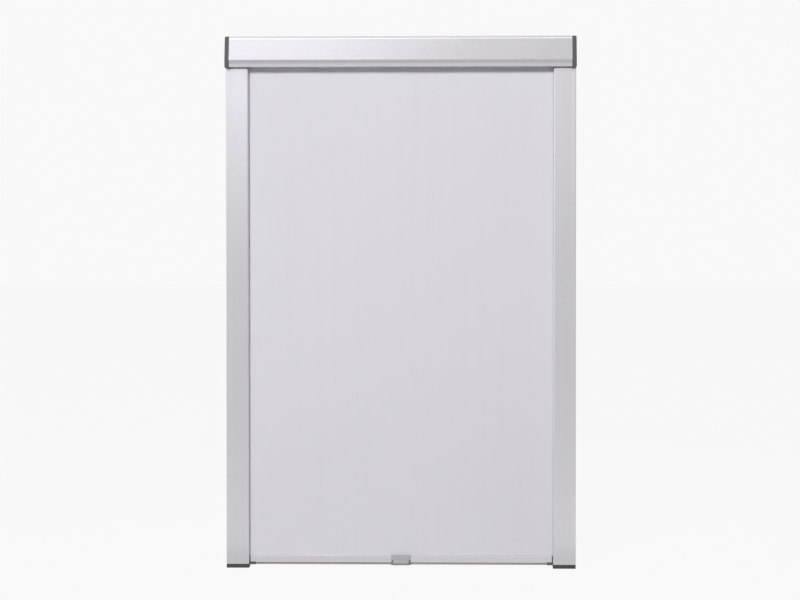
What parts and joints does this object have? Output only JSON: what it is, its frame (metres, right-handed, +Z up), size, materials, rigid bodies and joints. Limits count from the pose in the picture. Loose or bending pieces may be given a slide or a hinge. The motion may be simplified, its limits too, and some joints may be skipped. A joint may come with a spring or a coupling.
{
  "type": "roof window roller blind",
  "caption": "Roller blind for a roof window: aluminium cassette with a spring roller, pale blackout cloth, bottom bar with a finger grip, and side rails that guide cloth and bar.",
  "frame": {"origin": "on the plane of the sash, mid-width, at the middle of the cassette's upper back land", "axes": "+X across the blind to the viewer's right, +Y into the window, +Z up along the rails; the front faces -Y"},
  "size_m": [0.613, 0.05, 0.9315],
  "materials": {
    "satin_aluminium": "satin anodised extrusion with fine die lines",
    "bar_aluminium": "satin anodised, slightly warm",
    "dark_plastic": "fine-grained moulded plastic, dark grey",
    "grip_plastic": "satin moulded plastic, mid grey",
    "spring_steel": "drawn spring steel",
    "zinc_plate": "zinc-plated steel",
    "white_nylon": "natural nylon",
    "blackout_fabric": "coated blackout cloth, pale grey",
    "grey_rubber": "soft matt rubber",
    "pile": "short brush pile"
  },
  "bodies": {
    "root": {"header_profile": "satin_aluminium", "header_end_cap_left": "dark_plastic", "header_end_cap_right": "dark_plastic", "cap_screw_left_upper": "zinc_plate", "cap_screw_left_lower": "zinc_plate", "cap_screw_right_upper": "zinc_plate", "cap_screw_right_lower": "zinc_plate", "mounting_bracket_left": "zinc_plate", "mounting_bracket_right": "zinc_plate", "idle_pin": "spring_steel", "spring_shaft": "spring_steel", "spring_anchor": "white_nylon", "torsion_spring": "spring_steel", "fabric_sheet": "blackout_fabric", "side_rail_left": "satin_aluminium", "side_rail_right": "satin_aluminium", "pile_seal_left_front": "pile", "pile_seal_left_back": "pile", "pile_seal_right_front": "pile", "pile_seal_right_back": "pile", "rail_foot_cap_left": "dark_plastic", "rail_foot_cap_right": "dark_plastic"},
    "roller": {"roller_tube": "satin_aluminium", "drive_end_plug": "white_nylon", "idle_end_plug": "white_nylon", "shaft_bearing": "white_nylon", "fabric_roll": "blackout_fabric"},
    "bar": {"bottom_bar": "bar_aluminium", "hem_strip": "blackout_fabric", "bar_seal": "grey_rubber", "bar_guide_left": "dark_plastic", "bar_guide_right": "dark_plastic", "brake_spring_left": "spring_steel", "brake_spring_right": "spring_steel", "pull_grip": "grip_plastic"}
  },
  "joints": [
    {"name": "bar_slide", "type": "slide", "parent": "root", "child": "bar", "axis": [0, 0, 1], "range_m": [0, 0.851], "deforming": ["fabric_sheet"]},
    {"name": "roller_turn", "type": "hinge", "parent": "root", "child": "roller", "pos_m": [0, -0.0276, -0.022], "axis": [1, 0, 0], "range_deg": [0, 3200]}
  ],
  "couplings": [
    {"joint": "roller_turn", "follows": "bar_slide", "rad_per_m": 65.5}
  ]
}
